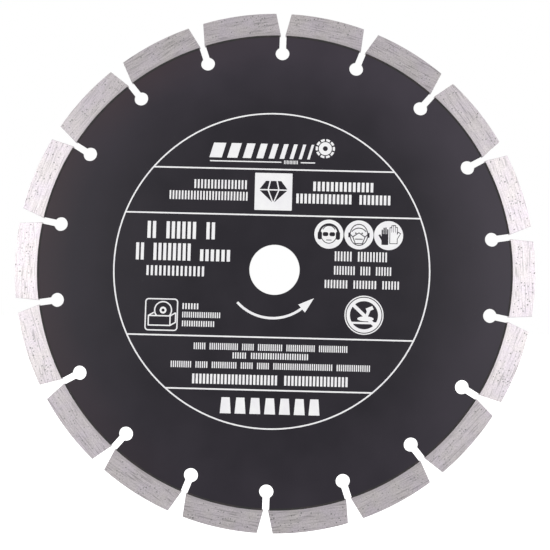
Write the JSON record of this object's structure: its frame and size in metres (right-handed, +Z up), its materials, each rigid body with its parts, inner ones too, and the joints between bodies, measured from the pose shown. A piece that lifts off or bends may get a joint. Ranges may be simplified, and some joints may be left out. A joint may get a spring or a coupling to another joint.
{
  "type": "diamond cutting blade",
  "caption": "Flat round cutting blade: black-coated steel core with a plain arbor bore, keyhole gullets and a welded rim of ground diamond segments.",
  "frame": {"origin": "centre of the arbor bore at the mid thickness of the core", "axes": "+Y along the blade's axis, from the printed front face to the plain back face, which lies towards the machine; +Z up through the middle of one gullet; +X to the right as the printed face is seen"},
  "size_m": [0.23, 0.0026, 0.2298],
  "materials": {
    "core_steel": "satin",
    "black_coat": "satin",
    "white_print": "matte",
    "segment_matrix": "satin",
    "foot_steel": "satin",
    "weld_metal": "satin"
  },
  "bodies": {
    "root": {"steel_core": "core_steel", "segment_01": "segment_matrix", "segment_02": "segment_matrix", "segment_03": "segment_matrix", "segment_04": "segment_matrix", "segment_05": "segment_matrix", "segment_06": "segment_matrix", "segment_07": "segment_matrix", "segment_08": "segment_matrix", "segment_09": "segment_matrix", "segment_10": "segment_matrix", "segment_11": "segment_matrix", "segment_12": "segment_matrix", "segment_13": "segment_matrix", "segment_14": "segment_matrix", "segment_15": "segment_matrix", "segment_16": "segment_matrix", "segment_17": "segment_matrix", "segment_18": "segment_matrix", "segment_foot_01": "foot_steel", "segment_foot_02": "foot_steel", "segment_foot_03": "foot_steel", "segment_foot_04": "foot_steel", "segment_foot_05": "foot_steel", "segment_foot_06": "foot_steel", "segment_foot_07": "foot_steel", "segment_foot_08": "foot_steel", "segment_foot_09": "foot_steel", "segment_foot_10": "foot_steel", "segment_foot_11": "foot_steel", "segment_foot_12": "foot_steel", "segment_foot_13": "foot_steel", "segment_foot_14": "foot_steel", "segment_foot_15": "foot_steel", "segment_foot_16": "foot_steel", "segment_foot_17": "foot_steel", "segment_foot_18": "foot_steel", "weld_seam_01": "weld_metal", "weld_seam_02": "weld_metal", "weld_seam_03": "weld_metal", "weld_seam_04": "weld_metal", "weld_seam_05": "weld_metal", "weld_seam_06": "weld_metal", "weld_seam_07": "weld_metal", "weld_seam_08": "weld_metal", "weld_seam_09": "weld_metal", "weld_seam_10": "weld_metal", "weld_seam_11": "weld_metal", "weld_seam_12": "weld_metal", "weld_seam_13": "weld_metal", "weld_seam_14": "weld_metal", "weld_seam_15": "weld_metal", "weld_seam_16": "weld_metal", "weld_seam_17": "weld_metal", "weld_seam_18": "weld_metal", "front_coat": "black_coat", "back_coat": "black_coat", "front_print": "white_print"}
  },
  "joints": []
}
